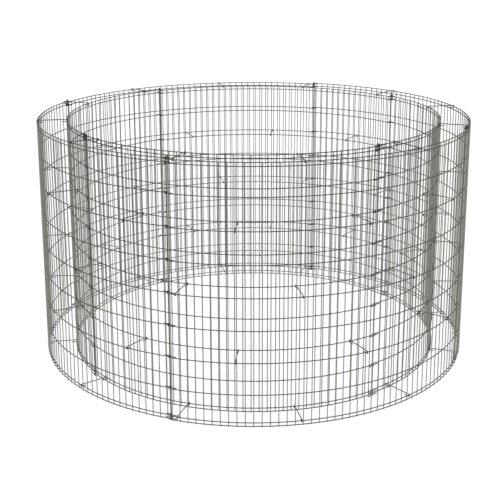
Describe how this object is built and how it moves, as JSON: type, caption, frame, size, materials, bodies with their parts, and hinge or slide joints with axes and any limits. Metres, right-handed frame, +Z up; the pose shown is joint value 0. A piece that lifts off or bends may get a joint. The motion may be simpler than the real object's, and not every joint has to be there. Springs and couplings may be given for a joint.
{
  "type": "gabion raised bed",
  "caption": "Round raised bed of two concentric welded wire mesh walls with a gap for stones, hooked spacers and pull-out locking rods.",
  "frame": {"origin": "middle of the bed on the ground, under the foot rails", "axes": "+Z up along the axis of the round walls, -Y towards the first joint of the outer wall"},
  "size_m": [1.4724, 1.4722, 0.8122],
  "materials": {
    "zinc_wire": "satin hot-dip galvanised wire",
    "zinc_rod": "satin galvanised rod"
  },
  "bodies": {
    "mesh_walls": {"outer_panel_1": "zinc_wire", "outer_panel_2": "zinc_wire", "outer_panel_3": "zinc_wire", "outer_panel_4": "zinc_wire", "inner_panel_1": "zinc_wire", "inner_panel_2": "zinc_wire", "inner_panel_3": "zinc_wire", "inner_panel_4": "zinc_wire", "spacer_foot_01": "zinc_wire", "spacer_foot_02": "zinc_wire", "spacer_foot_03": "zinc_wire", "spacer_foot_04": "zinc_wire", "spacer_foot_05": "zinc_wire", "spacer_foot_06": "zinc_wire", "spacer_foot_07": "zinc_wire", "spacer_foot_08": "zinc_wire", "spacer_foot_09": "zinc_wire", "spacer_foot_10": "zinc_wire", "spacer_foot_11": "zinc_wire", "spacer_foot_12": "zinc_wire", "spacer_middle_01": "zinc_wire", "spacer_middle_02": "zinc_wire", "spacer_middle_03": "zinc_wire", "spacer_middle_04": "zinc_wire", "spacer_middle_05": "zinc_wire", "spacer_middle_06": "zinc_wire", "spacer_middle_07": "zinc_wire", "spacer_middle_08": "zinc_wire", "spacer_middle_09": "zinc_wire", "spacer_middle_10": "zinc_wire", "spacer_middle_11": "zinc_wire", "spacer_middle_12": "zinc_wire", "spacer_top_01": "zinc_wire", "spacer_top_02": "zinc_wire", "spacer_top_03": "zinc_wire", "spacer_top_04": "zinc_wire", "spacer_top_05": "zinc_wire", "spacer_top_06": "zinc_wire", "spacer_top_07": "zinc_wire", "spacer_top_08": "zinc_wire", "spacer_top_09": "zinc_wire", "spacer_top_10": "zinc_wire", "spacer_top_11": "zinc_wire", "spacer_top_12": "zinc_wire"},
    "outer_rod_1": {"outer_rod_1": "zinc_rod"},
    "outer_rod_2": {"outer_rod_2": "zinc_rod"},
    "outer_rod_3": {"outer_rod_3": "zinc_rod"},
    "outer_rod_4": {"outer_rod_4": "zinc_rod"},
    "inner_rod_1": {"inner_rod_1": "zinc_rod"},
    "inner_rod_2": {"inner_rod_2": "zinc_rod"},
    "inner_rod_3": {"inner_rod_3": "zinc_rod"},
    "inner_rod_4": {"inner_rod_4": "zinc_rod"}
  },
  "joints": [
    {"name": "outer_rod_1_pull", "type": "slide", "parent": "mesh_walls", "child": "outer_rod_1", "axis": [0, 0, 1], "range_m": [0, 0.82]},
    {"name": "outer_rod_2_pull", "type": "slide", "parent": "mesh_walls", "child": "outer_rod_2", "axis": [0, 0, 1], "range_m": [0, 0.82]},
    {"name": "outer_rod_3_pull", "type": "slide", "parent": "mesh_walls", "child": "outer_rod_3", "axis": [0, 0, 1], "range_m": [0, 0.82]},
    {"name": "outer_rod_4_pull", "type": "slide", "parent": "mesh_walls", "child": "outer_rod_4", "axis": [0, 0, 1], "range_m": [0, 0.82]},
    {"name": "inner_rod_1_pull", "type": "slide", "parent": "mesh_walls", "child": "inner_rod_1", "axis": [0, 0, 1], "range_m": [0, 0.82]},
    {"name": "inner_rod_2_pull", "type": "slide", "parent": "mesh_walls", "child": "inner_rod_2", "axis": [0, 0, 1], "range_m": [0, 0.82]},
    {"name": "inner_rod_3_pull", "type": "slide", "parent": "mesh_walls", "child": "inner_rod_3", "axis": [0, 0, 1], "range_m": [0, 0.82]},
    {"name": "inner_rod_4_pull", "type": "slide", "parent": "mesh_walls", "child": "inner_rod_4", "axis": [0, 0, 1], "range_m": [0, 0.82]}
  ]
}
